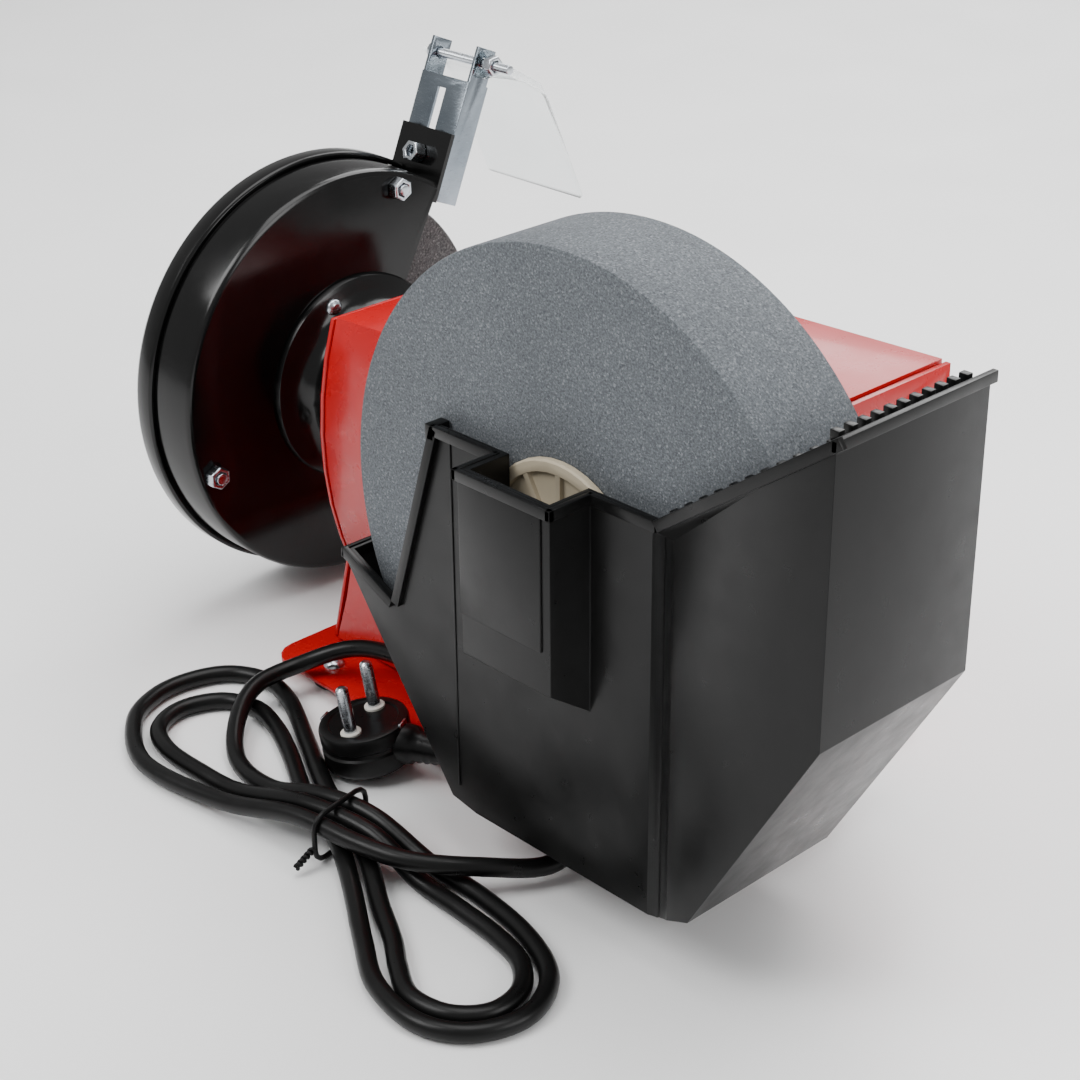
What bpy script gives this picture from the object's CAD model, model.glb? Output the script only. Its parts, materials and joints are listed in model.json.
"""Looks for the wet and dry bench sharpener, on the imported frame.

at(x, y, z) takes millimetres: x and y from the centre of the wet stone's front face, z from
the floor. Detailed pieces stand for the CAD nodes that they replace.
"""
import json
import math

import bmesh
import bpy
from mathutils import Matrix, Vector


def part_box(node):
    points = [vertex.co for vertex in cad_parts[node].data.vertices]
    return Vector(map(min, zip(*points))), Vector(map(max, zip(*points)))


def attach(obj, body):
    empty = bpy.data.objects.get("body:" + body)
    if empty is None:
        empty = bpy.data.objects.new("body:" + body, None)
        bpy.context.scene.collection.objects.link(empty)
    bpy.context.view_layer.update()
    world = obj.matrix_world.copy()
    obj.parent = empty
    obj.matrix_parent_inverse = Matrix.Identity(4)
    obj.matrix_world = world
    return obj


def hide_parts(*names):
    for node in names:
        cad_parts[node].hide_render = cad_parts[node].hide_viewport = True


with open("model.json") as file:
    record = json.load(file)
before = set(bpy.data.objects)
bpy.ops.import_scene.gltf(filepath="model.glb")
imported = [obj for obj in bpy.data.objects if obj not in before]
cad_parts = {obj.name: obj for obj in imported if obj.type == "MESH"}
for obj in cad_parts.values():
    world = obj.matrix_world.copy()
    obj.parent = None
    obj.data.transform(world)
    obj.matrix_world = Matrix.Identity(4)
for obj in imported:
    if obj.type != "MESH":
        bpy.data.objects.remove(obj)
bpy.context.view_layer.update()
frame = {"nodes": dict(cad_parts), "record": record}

STONE_LOW, STONE_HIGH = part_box("wet_wheel")
SHAFT_LOW, SHAFT_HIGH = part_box("motor_shaft")
WET_X = (STONE_LOW[0] + STONE_HIGH[0]) * 500.0
WET_Y = STONE_LOW[1] * 1000.0
WET_Z = (STONE_LOW[2] + STONE_HIGH[2]) * 500.0
WET_R = (STONE_HIGH[0] - STONE_LOW[0]) * 500.0
WET_WIDTH = (STONE_HIGH[1] - STONE_LOW[1]) * 1000.0
MOTOR_Y = (SHAFT_LOW[1] + SHAFT_HIGH[1]) * 500.0 - WET_Y
MOTOR_Z = (SHAFT_LOW[2] + SHAFT_HIGH[2]) * 500.0
GAP = 0.3
SHEET = 2.0


def mm(value):
    return value * 0.001


def at(x, y, z):
    return Vector((mm(WET_X + x), mm(WET_Y + y), mm(z)))


# ---------------------------------------------------------------- camera
def make_camera():
    data = bpy.data.cameras.new("camera")
    data.lens = 74.53
    data.sensor_width = 36.0
    data.clip_start = 0.02
    camera = bpy.data.objects.new("camera", data)
    bpy.context.scene.collection.objects.link(camera)
    camera.location = (0.53384, -0.53628, 0.44674)
    camera.rotation_euler = [math.radians(a) for a in (63.482, 0.5105, 46.336)]
    bpy.context.scene.camera = camera


make_camera()


# ---------------------------------------------------------------- materials
class Surface:
    """A Principled material whose colour, roughness and bump come from node textures."""

    def __init__(self, name, roughness=0.4, metallic=0.0):
        self.mat = bpy.data.materials.new(name)
        self.mat.use_nodes = True
        self.tree = self.mat.node_tree
        self.shader = self.tree.nodes["Principled BSDF"]
        self.shader.inputs["Roughness"].default_value = roughness
        self.shader.inputs["Metallic"].default_value = metallic
        self.place = self.tree.nodes.new("ShaderNodeTexCoord").outputs["Object"]
        self.height = None

    def set(self, socket, value):
        self.shader.inputs[socket].default_value = value
        return self

    def link(self, source, target):
        self.tree.links.new(source, target)

    def noise(self, scale, detail=3.0, roughness=0.55, stretch=None):
        node = self.tree.nodes.new("ShaderNodeTexNoise")
        node.inputs["Scale"].default_value = scale
        node.inputs["Detail"].default_value = detail
        node.inputs["Roughness"].default_value = roughness
        source = self.place
        if stretch:
            mapping = self.tree.nodes.new("ShaderNodeMapping")
            mapping.inputs["Scale"].default_value = stretch
            self.link(source, mapping.inputs["Vector"])
            source = mapping.outputs["Vector"]
        self.link(source, node.inputs["Vector"])
        return node.outputs["Fac"]

    def cells(self, scale):
        node = self.tree.nodes.new("ShaderNodeTexVoronoi")
        node.inputs["Scale"].default_value = scale
        self.link(self.place, node.inputs["Vector"])
        split = self.tree.nodes.new("ShaderNodeSeparateColor")
        self.link(node.outputs["Color"], split.inputs["Color"])
        return split.outputs["Red"]

    def ramp(self, source, *stops):
        """A colour ramp; each stop is (place, colour)."""
        node = self.tree.nodes.new("ShaderNodeValToRGB")
        points = node.color_ramp.elements
        while len(points) < len(stops):
            points.new(0.5)
        for point, (where, colour) in zip(points, stops):
            point.position = where
            point.color = (*colour, 1.0)
        self.link(source, node.inputs["Fac"])
        return node.outputs["Color"]

    def mix(self, factor, one, two, blend="MIX"):
        node = self.tree.nodes.new("ShaderNodeMix")
        node.data_type = "RGBA"
        node.blend_type = blend
        if isinstance(factor, float):
            node.inputs["Factor"].default_value = factor
        else:
            self.link(factor, node.inputs["Factor"])
        self.link(one, node.inputs[6])
        self.link(two, node.inputs[7])
        return node.outputs[2]

    def colour(self, source):
        self.link(source, self.shader.inputs["Base Color"])
        return self

    def rough(self, source, low, high):
        node = self.tree.nodes.new("ShaderNodeMapRange")
        node.inputs["From Min"].default_value = 0.3
        node.inputs["From Max"].default_value = 0.7
        node.inputs["To Min"].default_value = low
        node.inputs["To Max"].default_value = high
        self.link(source, node.inputs["Value"])
        self.link(node.outputs["Result"], self.shader.inputs["Roughness"])
        return self

    def bump(self, source, strength, distance):
        node = self.tree.nodes.new("ShaderNodeBump")
        node.inputs["Strength"].default_value = strength
        node.inputs["Distance"].default_value = distance
        self.link(source, node.inputs["Height"])
        if self.height:
            self.link(self.height, node.inputs["Normal"])
        self.height = node.outputs["Normal"]
        self.link(self.height, self.shader.inputs["Normal"])
        return self


def grey(value):
    return (value, value, value)


def enamel(name, deep, bright, low, high, coat):
    """Sprayed and baked enamel: slight orange peel under a clear gloss."""
    s = Surface(name)
    s.colour(s.ramp(s.noise(14.0, 4.0), (0.3, deep), (0.7, bright)))
    s.rough(s.noise(60.0, 5.0), low, high)
    s.bump(s.noise(420.0, 2.0), 0.05, 0.0002)
    s.set("Coat Weight", coat).set("Coat Roughness", 0.08).set("Specular IOR Level", 0.35)
    return s.mat


def moulded(name, deep, bright, low, high, grain=2200.0, strength=0.14):
    """Injection-moulded plastic: fine spark-eroded grain with soft flow marks."""
    s = Surface(name)
    s.colour(s.ramp(s.noise(22.0, 5.0, 0.6, (1.0, 1.0, 0.35)), (0.3, deep), (0.72, bright)))
    s.rough(s.noise(90.0, 6.0, 0.6), low, high)
    s.bump(s.noise(grain, 2.0), strength, 0.0001)
    s.set("Specular IOR Level", 0.22)
    return s.mat


def stone(name, dark, middle, light, grain):
    """Bonded abrasive: grains of three tones in a porous body, with cloudy patches."""
    s = Surface(name, 0.92)
    grains = s.ramp(s.cells(grain), (0.0, dark), (0.45, middle), (0.86, middle), (1.0, light))
    body = s.ramp(s.noise(grain * 0.8, 4.0, 0.7), (0.32, dark), (0.5, middle), (0.68, light))
    clouds = s.ramp(s.noise(16.0, 4.0), (0.3, grey(0.86)), (0.7, grey(1.0)))
    s.colour(s.mix(1.0, s.mix(0.5, grains, body), clouds, "MULTIPLY"))
    s.bump(s.noise(grain * 0.55, 4.0, 0.7), 0.55, 0.0005)
    s.bump(s.cells(grain * 1.3), 0.3, 0.0003)
    s.set("Specular IOR Level", 0.3)
    return s.mat


def metal(name, deep, bright, low, high, stretch=(1.0, 1.0, 1.0), scale=180.0, strength=0.1):
    """Plated or machined metal with faint directional marks."""
    s = Surface(name, low, 1.0)
    s.colour(s.ramp(s.noise(26.0, 5.0), (0.3, deep), (0.7, bright)))
    s.rough(s.noise(scale, 5.0, 0.6, stretch), low, high)
    s.bump(s.noise(scale * 2.5, 3.0, 0.6, stretch), strength, 0.0001)
    return s.mat


def clear_sheet(name):
    s = Surface(name, 0.04)
    s.colour(s.ramp(s.noise(30.0, 3.0), (0.3, (0.93, 0.96, 0.96)), (0.7, (0.98, 1.0, 1.0))))
    s.rough(s.noise(80.0, 4.0), 0.02, 0.07)
    s.bump(s.noise(35.0, 2.0), 0.02, 0.0003)
    s.set("Transmission Weight", 1.0).set("IOR", 1.06)
    return s.mat


def laminated(name):
    """Stacked steel sheets: fine lines across the motor's axis."""
    s = Surface(name, 0.5, 1.0)
    lines = s.noise(40.0, 2.0, 0.5, (45.0, 0.5, 0.5))
    s.colour(s.ramp(lines, (0.35, grey(0.10)), (0.6, grey(0.32))))
    s.bump(lines, 0.4, 0.0003)
    return s.mat


RED = enamel("red_enamel", (0.40, 0.0015, 0.003), (0.50, 0.003, 0.005), 0.22, 0.34, 0.15)
BLACK_ENAMEL = enamel("black_enamel", grey(0.0015), grey(0.003), 0.12, 0.22, 0.0)
BLACK_PLASTIC = moulded("black_plastic", grey(0.003), grey(0.006), 0.26, 0.38)
LEAD_PVC = moulded("lead_pvc", grey(0.003), grey(0.006), 0.26, 0.40, 1400.0, 0.10)
RUBBER = moulded("foot_rubber", grey(0.012), grey(0.022), 0.75, 0.9, 1500.0, 0.4)
ALONG_Z = (1.0, 1.0, 6.0)
ALONG_X = (8.0, 1.0, 1.0)
EVEN = (1.0, 1.0, 1.0)
ROCKER_RED = moulded("rocker_red", (0.42, 0.008, 0.008), (0.52, 0.014, 0.012), 0.18, 0.28)
BEIGE = moulded("beige_nylon", (0.50, 0.43, 0.31), (0.60, 0.53, 0.40), 0.38, 0.52, 1600.0, 0.2)
NYLON = moulded("white_nylon", (0.62, 0.60, 0.54), (0.74, 0.72, 0.66), 0.4, 0.5)
WET_STONE = stone("wet_stone_grain", (0.055, 0.062, 0.070), (0.125, 0.137, 0.150),
                  (0.30, 0.32, 0.34), 1700.0)
DRY_STONE = stone("dry_stone_grain", (0.035, 0.034, 0.034), (0.10, 0.098, 0.10), (0.28, 0.27, 0.27), 1300.0)
ZINC = metal("bright_zinc", (0.40, 0.43, 0.47), (0.62, 0.65, 0.68), 0.18, 0.30, ALONG_Z, 260.0, 0.03)
DARK_ZINC = metal("bent_zinc", (0.17, 0.20, 0.23), (0.34, 0.38, 0.42), 0.16, 0.30, ALONG_Z, 260.0, 0.03)
STEEL = metal("turned_steel", (0.42, 0.42, 0.43), (0.60, 0.60, 0.61), 0.22, 0.38, ALONG_X)
COPPER = metal("varnished_copper", (0.52, 0.20, 0.08), (0.70, 0.32, 0.14), 0.3, 0.45,
               (20.0, 1.0, 1.0), 120.0, 0.5)
BRONZE = metal("cast_bronze", (0.45, 0.30, 0.12), (0.62, 0.44, 0.20), 0.32, 0.5)
ALUMINIUM = metal("cast_aluminium", (0.46, 0.47, 0.48), (0.62, 0.63, 0.64), 0.42, 0.62, EVEN, 500.0, 0.4)
LAMINATION = laminated("laminations")
CLEAR = clear_sheet("clear_polycarbonate")


SLOT_LOOKS = {
    "red_paint": RED, "black_paint": BLACK_ENAMEL, "black_plastic": BLACK_PLASTIC,
    "rocker_plastic": ROCKER_RED, "clear_plastic": CLEAR, "beige_plastic": BEIGE,
    "wet_stone": WET_STONE, "dry_stone": DRY_STONE, "zinc": ZINC, "steel": STEEL,
    "lamination": LAMINATION, "copper": COPPER, "bronze": BRONZE, "aluminium": ALUMINIUM,
    "rubber": RUBBER, "nylon": NYLON,
}
SLOT_OF = {row["node"]: row["material_slot"] for row in frame["record"]["subparts"]}
BODY_OF = {node: body for body, nodes in frame["record"]["behaviour"]["bodies"].items() for node in nodes}

for node_name, node in frame["nodes"].items():
    node.data.materials.clear()
    node.data.materials.append(SLOT_LOOKS[SLOT_OF[node_name]])


# ---------------------------------------------------------------- building blocks
def link(name, mesh, mat, place=None):
    obj = bpy.data.objects.new(name, mesh)
    bpy.context.scene.collection.objects.link(obj)
    if mat:
        mesh.materials.append(mat)
    if place is not None:
        obj.matrix_world = place
    return obj


def finish_mesh(name, bm):
    bmesh.ops.recalc_face_normals(bm, faces=bm.faces)
    mesh = bpy.data.meshes.new(name)
    bm.to_mesh(mesh)
    bm.free()
    return mesh


def smooth(mesh, degrees=32.0):
    mesh.shade_smooth()
    mesh.set_sharp_from_angle(angle=math.radians(degrees))


def baked(obj, degrees=32.0):
    """The object with its modifiers applied and its edges smoothed where they are shallow."""
    bpy.context.view_layer.update()
    mesh = bpy.data.meshes.new_from_object(obj.evaluated_get(bpy.context.evaluated_depsgraph_get()))
    obj.modifiers.clear()
    if obj.type == "MESH":
        obj.data = mesh
        smooth(mesh, degrees)
        return obj
    place = obj.matrix_world.copy()
    name = obj.name
    bpy.data.objects.remove(obj, do_unlink=True)
    smooth(mesh, degrees)
    return link(name, mesh, None, place)


def bevel(obj, width, segments=2, degrees=30.0):
    mod = obj.modifiers.new("bevel", "BEVEL")
    mod.width = mm(width)
    mod.segments = segments
    mod.limit_method = "ANGLE"
    mod.angle_limit = math.radians(degrees)
    mod.harden_normals = False


def boolean(obj, other, operation):
    """Cut or join, applied at once, and the other object is used up."""
    mod = obj.modifiers.new(operation.lower(), "BOOLEAN")
    mod.operation = operation
    mod.solver = "EXACT"
    mod.object = other
    baked(obj)
    bpy.data.objects.remove(other, do_unlink=True)
    return obj


AXES = {
    "X": Matrix.Rotation(math.radians(90.0), 4, "Y"),
    "Y": Matrix.Rotation(math.radians(-90.0), 4, "X"),
    "Z": Matrix.Identity(4),
}


def turned(name, outline, axis, place, mat, steps=96):
    """A closed outline of (radius, height) swept round an axis, as a smooth mesh."""
    bm = bmesh.new()
    rings = []
    for r, h in outline:
        if r == 0.0:
            rings.append([bm.verts.new((0.0, 0.0, mm(h)))])
            continue
        turns = [2.0 * math.pi * i / steps for i in range(steps)]
        rings.append([bm.verts.new((mm(r) * math.cos(t), mm(r) * math.sin(t), mm(h))) for t in turns])
    for ring, following in zip(rings, rings[1:] + rings[:1]):
        if len(ring) == 1 and len(following) == 1:
            continue
        for i in range(steps):
            j = (i + 1) % steps
            near = [ring[i % len(ring)], ring[j % len(ring)]]
            far = [following[j % len(following)], following[i % len(following)]]
            bm.faces.new(list(dict.fromkeys(near + far)))
    obj = link(name, finish_mesh(name, bm), mat, Matrix.Translation(place) @ AXES[axis])
    smooth(obj.data)
    return obj


def block(name, low, high, mat, edge=0.0):
    """A block between two corners with its edges rounded."""
    low_m = at(*low)
    high_m = at(*high)
    bm = bmesh.new()
    bmesh.ops.create_cube(bm, size=1.0, matrix=Matrix.Diagonal((*(high_m - low_m), 1.0)))
    obj = link(name, finish_mesh(name, bm), mat, Matrix.Translation((low_m + high_m) / 2.0))
    if edge:
        bevel(obj, edge)
        baked(obj)
    return obj


def prism(name, outline, start, end, axis, mat):
    """A flat outline given thickness along X, where it is (y, z), or along Y, where it is (x, z)."""
    bm = bmesh.new()
    rows = []
    for depth in (start, end):
        if axis == "X":
            rows.append([bm.verts.new(at(depth, u, v)) for u, v in outline])
        else:
            rows.append([bm.verts.new(at(u, depth, v)) for u, v in outline])
    count = len(outline)
    for i in range(count):
        j = (i + 1) % count
        bm.faces.new((rows[0][i], rows[0][j], rows[1][j], rows[1][i]))
    bm.faces.new(rows[0])
    bm.faces.new(rows[1])
    return link(name, finish_mesh(name, bm), mat)


def tube(name, points, radius, mat, closed=False, radii=None):
    """A round tube through points in metres, with smooth joints."""
    curve = bpy.data.curves.new(name, "CURVE")
    curve.dimensions = "3D"
    curve.bevel_depth = mm(radius)
    curve.bevel_resolution = 6
    curve.use_fill_caps = not closed
    spline = curve.splines.new("POLY")
    spline.points.add(len(points) - 1)
    spline.use_cyclic_u = closed
    for number, (point, where) in enumerate(zip(spline.points, points)):
        point.co = (*where, 1.0)
        point.radius = radii[number] / radius if radii else 1.0
    spline.use_smooth = True
    obj = bpy.data.objects.new(name, curve)
    bpy.context.scene.collection.objects.link(obj)
    curve.materials.append(mat)
    return obj


def on(obj, body, slot, *nodes):
    """Ride on a body, take a record slot, and stand for CAD nodes."""
    bpy.context.view_layer.update()
    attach(obj, body)
    if nodes:
        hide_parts(*nodes)
    return obj


def stand_for(obj, node):
    return on(obj, BODY_OF[node], SLOT_OF[node], node)


def refined(node, edge, segments=2, degrees=30.0, look=None):
    """The CAD node's own shape with its edges rounded and its round faces smoothed."""
    source = frame["nodes"][node]
    bm = bmesh.new()
    bm.from_mesh(source.data)
    bmesh.ops.remove_doubles(bm, verts=bm.verts, dist=0.000002)
    bmesh.ops.dissolve_limit(bm, angle_limit=math.radians(0.6), verts=bm.verts, edges=bm.edges)
    obj = link(node + "_finished", finish_mesh(node, bm), look or SLOT_LOOKS[SLOT_OF[node]])
    mod = obj.modifiers.new("bevel", "BEVEL")
    mod.width = mm(edge)
    mod.segments = segments
    mod.limit_method = "ANGLE"
    mod.angle_limit = math.radians(degrees)
    mod.use_clamp_overlap = True
    baked(obj, 34.0)
    return stand_for(obj, node)


# ---------------------------------------------------------------- mains lead
CORD_R = 3.4
CORD_ROUTE = (
    (-118.0, 43.0, 25.0), (-140.0, 42.5, 24.5), (-160.0, 38.0, 20.5), (-174.0, 24.0, 13.5),
    (-176.0, 4.0, 11.3), (-166.0, -13.0, 7.0), (-147.0, -27.0, 3.5), (-120.0, -32.0, 6.3),
    (-95.0, -28.5, 13.3), (-71.0, -24.0, 13.3), (-45.0, -21.0, 5.0), (-21.0, -20.0, 3.5),
    (6.0, -24.0, 3.5), (27.0, -34.0, 3.5), (36.0, -52.0, 3.5), (30.0, -70.0, 3.5),
    (14.0, -79.0, 3.5), (-9.0, -76.0, 3.5), (-30.0, -64.0, 3.6), (-55.0, -48.5, 6.0),
    (-80.0, -35.0, 6.3), (-108.0, -25.5, 4.6), (-138.0, -10.0, 3.5), (-157.0, -2.0, 3.5),
    (-173.0, 1.0, 3.5), (-187.0, -5.0, 3.5), (-193.0, -20.0, 3.5), (-187.0, -34.5, 3.5),
    (-172.0, -41.0, 3.5), (-150.0, -41.5, 3.5), (-128.0, -40.0, 4.5), (-96.0, -36.0, 13.2),
    (-64.0, -31.0, 13.0), (-42.0, -29.5, 4.0), (-20.0, -30.0, 3.5), (0.0, -31.5, 3.5),
    (15.0, -35.5, 3.5), (25.5, -45.5, 3.5), (27.0, -59.0, 3.5), (18.0, -69.5, 3.5),
    (3.0, -72.0, 3.5), (-11.0, -65.0, 3.5), (-23.0, -57.0, 3.5), (-41.0, -47.5, 4.0),
    (-66.0, -33.5, 6.2), (-106.0, -17.5, 5.2), (-138.0, -1.0, 3.5), (-168.0, 13.5, 3.5),
    (-187.0, 17.0, 3.5), (-202.0, 10.0, 3.5), (-209.0, -5.0, 3.5), (-208.0, -22.0, 3.5),
    (-197.0, -39.0, 3.5), (-169.0, -53.0, 3.5), (-126.0, -49.5, 6.0), (-92.0, -43.0, 13.2),
    (-63.0, -39.0, 13.6), (-43.0, -32.0, 12.8), (-26.0, -16.0, 11.0), (-14.0, 5.0, 7.5),
    (-15.0, 23.0, 11.8), (-28.0, 37.0, 12.1), (-45.0, 38.0, 12.6), (-61.0, 31.5, 13.5),
)
PLUG_BACK = (-113.5, 9.5, 3.0)
PLUG_TURN_DEG = (2.6, -8.0, 22.7)
PLUG_DEPTH = 18.0
PLUG_R = 17.0
PLUG_TAIL_END = (38.0, 0.0, 5.5)
PIN_PITCH = 19.0
GLAND_X = -95.0
GLAND_Z = 25.0
GLAND_BEND_R = 14.0


def smooth_route(route, steps=8):
    points = []
    ends = [route[0] * 2.0 - route[1]] + route + [route[-1] * 2.0 - route[-2]]
    for a, b, c, d in zip(ends, ends[1:], ends[2:], ends[3:]):
        for k in range(steps):
            t = k / steps
            points.append(0.5 * (b * 2.0 + (c - a) * t + (a * 2.0 - b * 5.0 + c * 4.0 - d) * t ** 2
                                 + (b * 3.0 - a - c * 3.0 + d) * t ** 3))
    points.append(route[-1])
    return points


def plug_frame():
    turn = Matrix.Identity(4)
    for axis, degrees in zip("XYZ", PLUG_TURN_DEG):
        turn = Matrix.Rotation(math.radians(degrees), 4, axis) @ turn
    return Matrix.Translation(at(*PLUG_BACK)) @ turn


def make_plug(place):
    """Round two-pin plug with an earth rim, lying on its back with the lead out to one side."""
    parts = []
    outline = [(0.0, PLUG_DEPTH - 0.6), (12.9, PLUG_DEPTH - 0.6), (13.4, PLUG_DEPTH),
               (PLUG_R - 1.6, PLUG_DEPTH), (PLUG_R - 0.4, PLUG_DEPTH - 0.5),
               (PLUG_R, PLUG_DEPTH - 1.6), (PLUG_R, PLUG_DEPTH - 6.0), (PLUG_R - 0.7, PLUG_DEPTH - 6.8),
               (PLUG_R - 0.7, PLUG_DEPTH - 8.2), (PLUG_R, PLUG_DEPTH - 9.0), (PLUG_R, 3.4),
               (PLUG_R - 0.9, 1.6), (PLUG_R - 3.0, 0.1), (0.0, 0.1)]
    body = turned("plug_body", outline, "Z", Vector((0.0, 0.0, 0.0)), BLACK_PLASTIC, 72)
    body.matrix_world = place
    stand_for(body, "power_plug")
    parts.append(body)
    tail = [(4.0, 9.6, 8.0), (14.0, 9.2, 7.9), (20.0, 8.4, 7.2)]
    start, end = 20.0, PLUG_TAIL_END[0]
    for i in range(12):
        t = (i + 1) / 12.0
        radius = (6.6 - 2.2 * t) if i % 2 else (5.9 - 2.2 * t)
        tail.append((start + (end - start) * t, 8.4 + (PLUG_TAIL_END[2] - 8.4) * t, radius))
    grip = tube("plug_grip", [place @ Vector((mm(x), 0.0, mm(z))) for x, z, _ in tail], 1.0, BLACK_PLASTIC,
                radii=[r for _, _, r in tail])
    parts.append(on(grip, "frame", "black_plastic"))
    for number, side in enumerate((-1.0, 1.0), 1):
        where = place @ Matrix.Translation((0.0, mm(side * PIN_PITCH / 2.0), 0.0))
        rounded = [(0.0, 36.9), (1.4, 36.8), (2.2, 36.0), (2.4, 35.0), (2.4, 17.0), (0.0, 17.0)]
        pin = turned(f"plug_pin_{number}", rounded, "Z", Vector((0.0, 0.0, 0.0)), ZINC, 28)
        pin.matrix_world = where
        collar = [(3.6, 18.5), (3.9, 18.2), (3.9, 17.0), (2.4, 17.0), (2.4, 18.5)]
        sleeve = turned(f"plug_sleeve_{number}", collar, "Z", Vector((0.0, 0.0, 0.0)), NYLON, 28)
        sleeve.matrix_world = where
        parts.append(on(pin, "frame", "zinc"))
        parts.append(on(sleeve, "frame", "nylon"))
    for number, side in enumerate((-1.0, 1.0), 1):
        low = Vector((mm(side * (PLUG_R - 0.6) - 0.5), mm(-2.6), mm(9.0)))
        size = Vector((mm(1.0), mm(5.2), mm(9.2)))
        bm = bmesh.new()
        middle = Matrix.Translation(low + size / 2.0)
        bmesh.ops.create_cube(bm, size=1.0, matrix=middle @ Matrix.Diagonal((*size, 1.0)))
        clip = link(f"plug_earth_{number}", finish_mesh("clip", bm), ZINC, place)
        bevel(clip, 0.3)
        baked(clip)
        parts.append(on(clip, "frame", "zinc"))
    return parts


def make_gland():
    """Bent ribbed boot that takes the lead out of the base and turns it along the front."""
    wall_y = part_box("cord_gland")[1][1] * 1000.0 - WET_Y
    start = Vector((GLAND_X, wall_y, GLAND_Z))
    corner = (GLAND_X - GLAND_BEND_R, CORD_ROUTE[0][1] + GLAND_BEND_R)
    line = [start, start - Vector((0.0, 2.6, 0.0)), start - Vector((0.0, 3.0, 0.0))]
    radii = [7.9, 7.9, 6.0]
    ribs = 22
    for i in range(ribs + 1):
        angle = math.radians(90.0) * i / ribs
        x = corner[0] + GLAND_BEND_R * math.cos(angle)
        y = corner[1] - GLAND_BEND_R * math.sin(angle)
        line.append(Vector((x, y, GLAND_Z)))
        radii.append(5.8 - 1.1 * i / ribs - (0.6 if i % 2 else 0.0))
    line.append(Vector((CORD_ROUTE[0][0] + GAP, CORD_ROUTE[0][1], GLAND_Z)))
    radii.append(4.5)
    boot = tube("lead_boot", [at(*p) for p in line], 1.0, BLACK_PLASTIC, radii=radii)
    return stand_for(boot, "cord_gland")


def make_tie():
    """Plastic-coated wire tie, refined from the CAD loop, with its twisted ends."""
    loop = refined("cord_tie", 0.15)
    low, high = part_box("cord_tie")
    foot = Vector(((low[0] + high[0]) / 2.0 + mm(2.2), low[1] + mm(0.4), low[2] + mm(7.0)))
    ends = []
    for phase in (0.0, math.pi):
        points = []
        for i in range(25):
            t = i / 24.0
            turn = phase + t * math.pi * 5.0
            away = Vector((0.10, -1.0, -0.42)).normalized() * mm(9.0) * t
            points.append(foot + away + Vector((math.cos(turn), 0.0, math.sin(turn))) * mm(0.75))
        end = tube(f"tie_end_{len(ends)}", points, 0.7, BLACK_PLASTIC)
        ends.append(on(end, "frame", "black_plastic"))
    return [loop] + ends


def make_lead():
    place = plug_frame()
    tail_end = place @ Vector([mm(v) for v in PLUG_TAIL_END])
    outward = place.to_3x3() @ Vector((1.0, 0.0, -0.14)).normalized()
    route = smooth_route([at(*point) for point in CORD_ROUTE] + [tail_end + outward * mm(GAP)])
    lead = tube("mains_lead", route, CORD_R, LEAD_PVC)
    stand_for(lead, "power_cord")
    pieces = make_plug(place) + make_tie() + [make_gland()]


make_lead()


# ---------------------------------------------------------------- stones
def make_stones():
    centre = at(0.0, 0.0, WET_Z)
    outline = [(WET_R - 1.0, 0.0), (WET_R - 0.3, 0.25), (WET_R, 1.0), (WET_R, WET_WIDTH - 1.0),
               (WET_R - 0.3, WET_WIDTH - 0.25), (WET_R - 1.0, WET_WIDTH), (6.3, WET_WIDTH), (6.3, 0.0)]
    stand_for(turned("wet_stone_body", outline, "Y", centre, WET_STONE, 220), "wet_wheel")
    low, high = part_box("dry_wheel")
    start = low[0] * 1000.0 - WET_X
    end = high[0] * 1000.0 - WET_X
    r = (high[1] - low[1]) * 500.0
    outline = [(r - 0.8, end), (r, end - 0.8), (r, start + 0.8), (r - 0.8, start), (6.65, start), (6.65, end)]
    stand_for(turned("dry_stone_body", outline, "X", at(0.0, MOTOR_Y, MOTOR_Z), DRY_STONE, 200), "dry_wheel")


make_stones()


# ---------------------------------------------------------------- guard
GUARD_R = 86.4
GUARD_X1 = -238.0
GUARD_X0 = -270.0
MOUTH_APEX = (21.5, 22.8)
MOUTH_UP_DEG = 62.0
MOUTH_DOWN_DEG = -55.0
BRACKET_DEG = 67.0
TAB_FOOT = (158.6, 160.0)


def mouth(name, start, end, tip_up, tip_down):
    up = Vector((math.cos(math.radians(MOUTH_UP_DEG)), math.sin(math.radians(MOUTH_UP_DEG))))
    down = Vector((math.cos(math.radians(MOUTH_DOWN_DEG)), math.sin(math.radians(MOUTH_DOWN_DEG))))
    apex = Vector((MOTOR_Y + MOUTH_APEX[0], MOTOR_Z + MOUTH_APEX[1]))
    far = up * 78.0 + down * 78.0
    points = [apex + up * tip_up, apex + down * tip_down, apex + down * 110.0,
              apex + far * 1.1, apex + up * 110.0]
    points = [p for i, p in enumerate(points) if i == 0 or (p - points[i - 1]).length > 0.1]
    return prism(name, [tuple(p) for p in points], start, end, "X", None)


def tilted():
    return Matrix.Translation(at(0.0, *TAB_FOOT)) @ Matrix.Rotation(math.radians(BRACKET_DEG - 90.0), 4, "X")


def tilted_box(name, low, high, mat):
    size = Vector([mm(b - a) for a, b in zip(low, high)])
    middle = Vector([mm(a + b) / 2.0 for a, b in zip(low, high)])
    bm = bmesh.new()
    bmesh.ops.create_cube(bm, size=1.0, matrix=Matrix.Diagonal((*size, 1.0)))
    shift = Matrix.Translation((mm(WET_X), 0.0, 0.0))
    place = tilted()
    place = Matrix.Translation((0.0, place.translation.y, place.translation.z)) @ place.to_3x3().to_4x4()
    return link(name, finish_mesh(name, bm), mat, shift @ place @ Matrix.Translation(middle))


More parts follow.
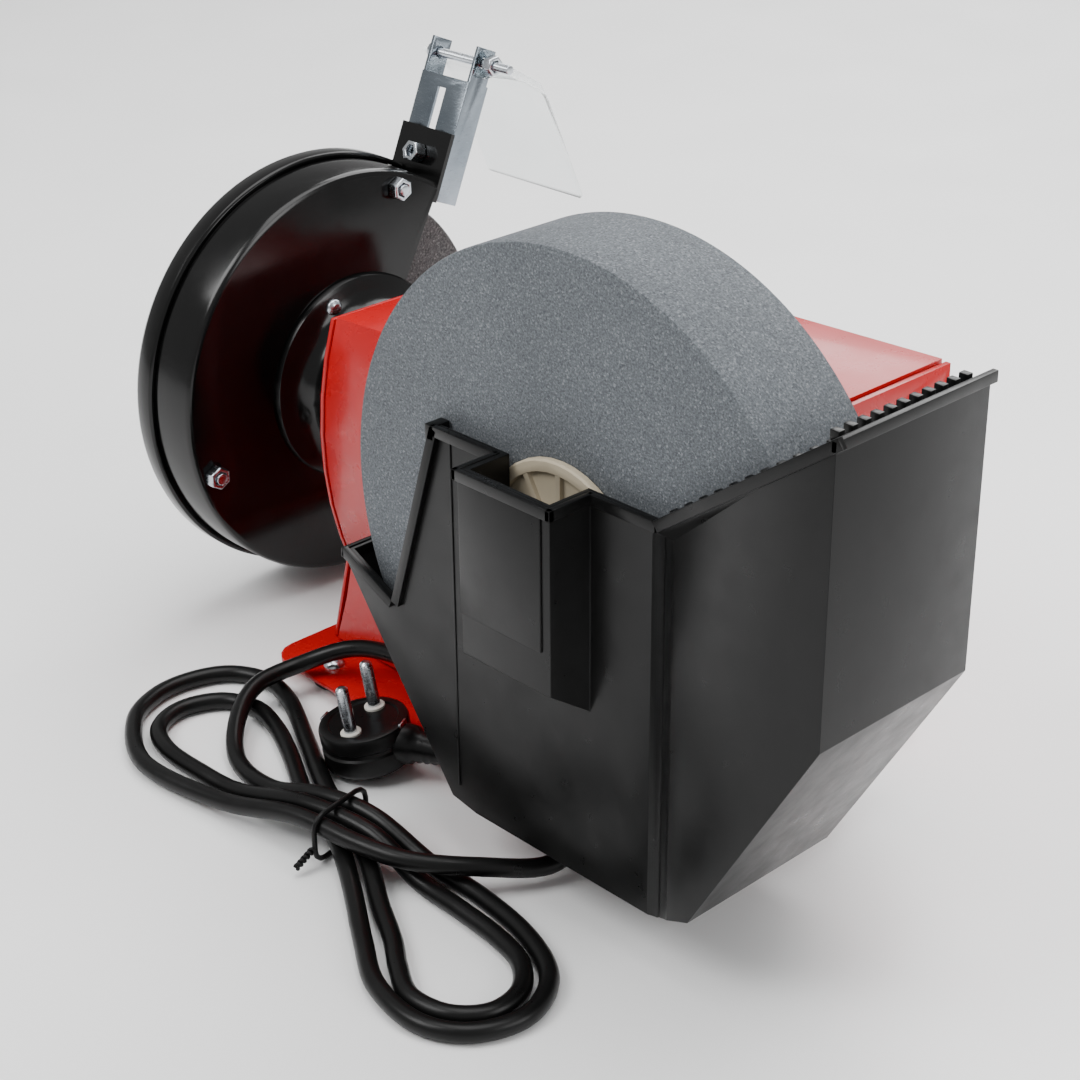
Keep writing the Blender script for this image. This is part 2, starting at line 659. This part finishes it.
def rod(name, radius, start, end, axis, place, steps=32):
    return turned(name, [(0.0, end), (radius, end), (radius, start), (0.0, start)], axis, place, None, steps)


def make_guard():
    centre = at(0.0, MOTOR_Y, MOTOR_Z)
    x0, x1 = GUARD_X0, GUARD_X1
    cup = [(GUARD_R - 2.6, x1), (GUARD_R - 0.9, x1 - 0.7), (GUARD_R, x1 - 2.6), (GUARD_R, x0 + GAP),
           (GUARD_R - SHEET, x0 + GAP), (GUARD_R - SHEET, x1 - SHEET), (19.0, x1 - SHEET), (19.0, x1)]
    guard = turned("guard_cup", cup, "X", centre, BLACK_ENAMEL, 180)
    boolean(guard, mouth("cup_mouth", x0 - 20.0, x1 + 20.0, 0.0, 0.0), "DIFFERENCE")
    boolean(guard, tilted_box("tab", (x0 + 1.0, -2.0, -3.0), (x1, 0.0, 24.5), None), "UNION")
    boolean(guard, tilted_box("root", (x0 + 1.0, -6.5, -4.5), (x1, -0.2, 1.5), None), "UNION")
    boolean(guard, tilted_box("hole", (-256.5, -5.0, 10.5), (-251.1, 5.0, 15.9), None), "DIFFERENCE")
    bevel(guard, 0.3, 1)
    baked(guard)
    stand_for(guard, "guard_housing")
    lid = [(0.0, -285.4), (29.0, -285.4), (35.3, x0), (GUARD_R + GAP, x0), (GUARD_R + GAP, x0 + 9.0),
           (GUARD_R + 1.6, x0 + 9.4), (GUARD_R + 2.6, x0 + 8.4), (GUARD_R + 2.6, x0 + 1.4),
           (GUARD_R + 2.0, x0 - 0.2), (GUARD_R + 0.6, x0 - 1.2), (GUARD_R - 2.0, x0 - 1.8),
           (GUARD_R - 6.0, x0 - SHEET), (34.5, x0 - SHEET), (28.0, -287.4), (0.0, -287.4)]
    cover = turned("guard_lid", lid, "X", centre, BLACK_ENAMEL, 180)
    boolean(cover, mouth("lid_mouth", x0 - 30.0, x0 + 20.0, 18.0, 32.0), "DIFFERENCE")
    boolean(cover, tilted_box("clear", (x0 - 5.0, -3.0, -8.0), (x0 + 12.0, 40.0, 30.0), None), "DIFFERENCE")
    bevel(cover, 0.3, 1)
    baked(cover)
    stand_for(cover, "guard_cover")
    boss_x0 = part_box("guard_boss")[0][0] * 1000.0 - WET_X
    boss_x1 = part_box("guard_boss")[1][0] * 1000.0 - WET_X
    neck = [(30.0, boss_x1), (30.8, boss_x1 - 1.2), (31.6, x1 + 12.0), (33.0, x1 + 8.6),
            (35.4, x1 + 6.2), (38.4, x1 + 4.6), (41.6, x1 + 3.6), (43.4, x1 + 2.8),
            (44.0, x1 + 1.6), (44.0, boss_x0), (19.0, boss_x0), (18.0, boss_x1)]
    stand_for(turned("guard_neck", neck, "X", centre, BLACK_ENAMEL, 120), "guard_boss")


make_guard()


# ---------------------------------------------------------------- trough
TROUGH_Y0 = -6.0
TROUGH_Y1 = 62.0
TROUGH_X1 = 108.5
RIM_Z = 162.0
HIGH_Z = 208.0
RISE_X = 44.0
NOSE_Y = -23.0
NOSE_X0 = -23.0
NOSE_X1 = 17.0
NOSE_KNEE_Z = 112.0


def rim_z(x):
    return RIM_Z + (HIGH_Z - RIM_Z) * max(0.0, x - RISE_X) / (TROUGH_X1 - RISE_X)


def piece_of_trough(obj, edge=0.25):
    bevel(obj, edge, 2)
    baked(obj)
    on(obj, "frame", "black_plastic")


def rail(name, start, end, outward, lower, edge=0.3, inner=0.4, outer=1.7, depth=3.4):
    """A rectangular lip from start to end, standing out of the wall just under its rim."""
    a = Vector(start)
    b = Vector(end)
    outward = Vector(outward)
    lower = Vector(lower)
    bm = bmesh.new()
    rows = []
    for point in (a, b):
        corners = (point - outward * inner - lower * 0.3, point + outward * outer - lower * 0.3,
                   point + outward * outer + lower * depth, point - outward * inner + lower * depth)
        rows.append([bm.verts.new(at(*corner)) for corner in corners])
    for i in range(4):
        j = (i + 1) % 4
        bm.faces.new((rows[0][i], rows[0][j], rows[1][j], rows[1][i]))
    bm.faces.new(rows[0])
    bm.faces.new(rows[1])
    piece_of_trough(link(name, finish_mesh(name, bm), BLACK_PLASTIC), edge)


def make_trough_lip():
    front = (0.0, -1.0, 0.0)
    down = (0.0, 0.0, -1.0)
    y, out = TROUGH_Y0, 1.7
    slope = math.atan2(HIGH_Z - RIM_Z, TROUGH_X1 - RISE_X)
    rail("lip_left", (-54.0, y, RIM_Z), (NOSE_X0, y, RIM_Z), front, down)
    rail("lip_nose_left", (NOSE_X0, y, RIM_Z), (NOSE_X0, NOSE_Y - out, RIM_Z), (-1.0, 0.0, 0.0), down)
    rail("lip_nose", (NOSE_X0 - out, NOSE_Y, RIM_Z), (NOSE_X1 + out, NOSE_Y, RIM_Z), front, down)
    rail("lip_nose_right", (NOSE_X1, NOSE_Y - out, RIM_Z), (NOSE_X1, y, RIM_Z), (1.0, 0.0, 0.0), down)
    rail("lip_right", (NOSE_X1, y, RIM_Z), (RISE_X + 1.0, y, RIM_Z), front, down)
    rail("lip_rise", (RISE_X, y, RIM_Z), (TROUGH_X1 + out, y, rim_z(TROUGH_X1 + out)), front,
         (math.sin(slope), 0.0, -math.cos(slope)))
    rail("lip_side", (TROUGH_X1, y - out, HIGH_Z), (TROUGH_X1, TROUGH_Y1 + 1.0, HIGH_Z),
         (1.0, 0.0, 0.0), down)
    rail("lip_steep", (-54.0, y, RIM_Z), (-77.0, y, 90.0), front, (0.953, 0.0, -0.304))
    rail("lip_low", (-77.0, y, 90.0), (-102.0, y, 101.4), front, (-0.414, 0.0, -0.91))
    rail("lip_tip", (-102.0, y - out, 101.0), (-102.0, TROUGH_Y1, 101.0), (-1.0, 0.0, 0.0), down, outer=1.2)
    rail("lip_post", (-54.6, y - out, RIM_Z), (-54.6, y + 5.5, RIM_Z), (-1.0, 0.0, 0.0), down,
         inner=2.4, depth=5.0)
    rail("panel_edge", (-46.0, y, 30.0), (-46.0, y, RIM_Z - 4.0), front, (-1.0, 0.0, 0.0),
         0.2, 0.4, 0.35, 0.5)


def make_trough_teeth():
    """Splash teeth inside the rising rim and inside the side rim."""
    wall = 2.0
    pitch = 5.6
    count = 11
    for i in range(count):
        x = RISE_X + 5.0 + i * pitch
        low = (x - 1.3, TROUGH_Y0 + wall - 0.4, rim_z(x) - 5.0)
        high = (x + 1.3, TROUGH_Y0 + wall + 2.7, rim_z(x) + 0.3)
        piece_of_trough(block(f"front_tooth_{i}", low, high, BLACK_PLASTIC))
    for i in range(count):
        y = TROUGH_Y0 + 5.0 + i * pitch
        low = (TROUGH_X1 - 5.4, y - 1.3, HIGH_Z - 5.0)
        high = (TROUGH_X1 - 2.2, y + 1.3, HIGH_Z + 0.3)
        piece_of_trough(block(f"side_tooth_{i}", low, high, BLACK_PLASTIC))


def make_trough():
    """The CAD tub with a soft groove down its front wall and a raised panel on its nose."""
    tub = refined("water_trough", 0.9, 3)
    groove = rod("groove", 9.0, 20.0, RIM_Z - 4.0, "Z", at(RISE_X + 3.0, TROUGH_Y0 - 7.9, 0.0), 64)
    boolean(tub, groove, "DIFFERENCE")
    seam = block("seam", (RISE_X + 2.7, TROUGH_Y0 - 2.0, 20.0),
                 (RISE_X + 3.3, TROUGH_Y0 + 1.5, RIM_Z - 4.0), None)
    boolean(tub, seam, "DIFFERENCE")
    panel = block("nose_panel", (NOSE_X0 + 0.2, NOSE_Y - 0.9, NOSE_KNEE_Z + 0.5),
                  (NOSE_X1 - 3.4, NOSE_Y + 0.4, RIM_Z - 3.0), BLACK_PLASTIC)
    piece_of_trough(panel, 0.45)
    make_trough_lip()
    make_trough_teeth()


make_trough()


# ---------------------------------------------------------------- screws on the feet
def make_foot_screws():
    for number in range(1, 5):
        low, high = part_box(f"foot_{number}")
        base_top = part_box("base_plate")[1][2]
        place = Vector(((low[0] + high[0]) / 2.0, (low[1] + high[1]) / 2.0, base_top))
        outline = [(0.0, 2.6), (1.6, 2.4), (3.2, 1.7), (4.2, 0.6), (4.4, 0.0), (0.0, 0.0)]
        head = turned(f"foot_screw_{number}", outline, "Z", place, ZINC, 32)
        for turn in (0.0, 90.0):
            bm = bmesh.new()
            bmesh.ops.create_cube(bm, size=1.0, matrix=Matrix.Diagonal((mm(4.6), mm(0.9), mm(2.4), 1.0)))
            above = Matrix.Translation(place + Vector((0.0, 0.0, mm(2.9))))
            turned_by = Matrix.Rotation(math.radians(turn), 4, "Z")
            slot_cut = link("cross", finish_mesh("cross", bm), None, above @ turned_by)
            boolean(head, slot_cut, "DIFFERENCE")
        on(head, "frame", "zinc")


make_foot_screws()

for edge_width, nodes in (
        (0.8, ("housing_shell",)),
        (0.5, ("end_plate_dry",)),
        (0.6, ("end_cover_wet",)),
        (0.4, ("base_plate",)),
        (0.3, ("skirt_front", "skirt_back")),
        (0.4, ("wheel_nut", "tool_rest")),
        (0.3, ("eye_shield", "switch_case")),
        (0.9, ("switch_rocker",)),
        (0.5, ("foot_1", "foot_2", "foot_3", "foot_4")),
        (0.3, ("deflector_dome_nut", "deflector_nut")),
        (0.5, ("dry_wheel_nut",)),
        (0.3, ("dry_flange_outer", "dry_flange_inner")),
        (0.25, ("guard_nut_1", "guard_nut_2", "guard_nut_3", "guard_bolt_1", "guard_bolt_2",
                "guard_bolt_3", "shield_pivot_bolt", "shield_pivot_nut")),
        (0.2, ("cover_screw_1", "cover_screw_2", "boss_screw", "tool_rest_screw", "deflector_bolt"))):
    for plain in nodes:
        refined(plain, edge_width)
refined("deflector_bracket", 0.35, look=DARK_ZINC)


# ---------------------------------------------------------------- floor and light
def make_stage():
    bm = bmesh.new()
    bmesh.ops.create_grid(bm, x_segments=8, y_segments=8, size=6.0)
    floor = link("floor", finish_mesh("floor", bm), None)
    s = Surface("pale_floor", 0.4)
    s.colour(s.ramp(s.noise(1.5, 3.0), (0.3, grey(0.93)), (0.7, grey(0.96))))
    s.rough(s.noise(12.0, 4.0), 0.32, 0.42)
    floor.data.materials.append(s.mat)
    world = bpy.data.worlds.new("studio")
    world.use_nodes = True
    world.node_tree.nodes["Background"].inputs["Color"].default_value = (1.0, 1.0, 1.0, 1.0)
    world.node_tree.nodes["Background"].inputs["Strength"].default_value = 0.5
    bpy.context.scene.world = world
    lamps = (
        ("key", (-0.5, -1.2, 1.5), 0.9, 22.0),
        ("side", (1.7, 0.3, 1.0), 0.9, 14.0),
        ("back", (-0.5, 1.4, 1.3), 1.4, 34.0),
        ("top", (0.1, 0.2, 1.9), 1.5, 30.0),
    )
    aim = Vector((0.0, -0.03, 0.1))
    for name, place, size, power in lamps:
        data = bpy.data.lights.new(name, "AREA")
        data.size = size
        data.energy = power
        lamp = bpy.data.objects.new(name, data)
        bpy.context.scene.collection.objects.link(lamp)
        lamp.location = place
        lamp.rotation_euler = (Vector(place) - aim).to_track_quat("Z", "Y").to_euler()


make_stage()

bpy.context.view_layer.update()
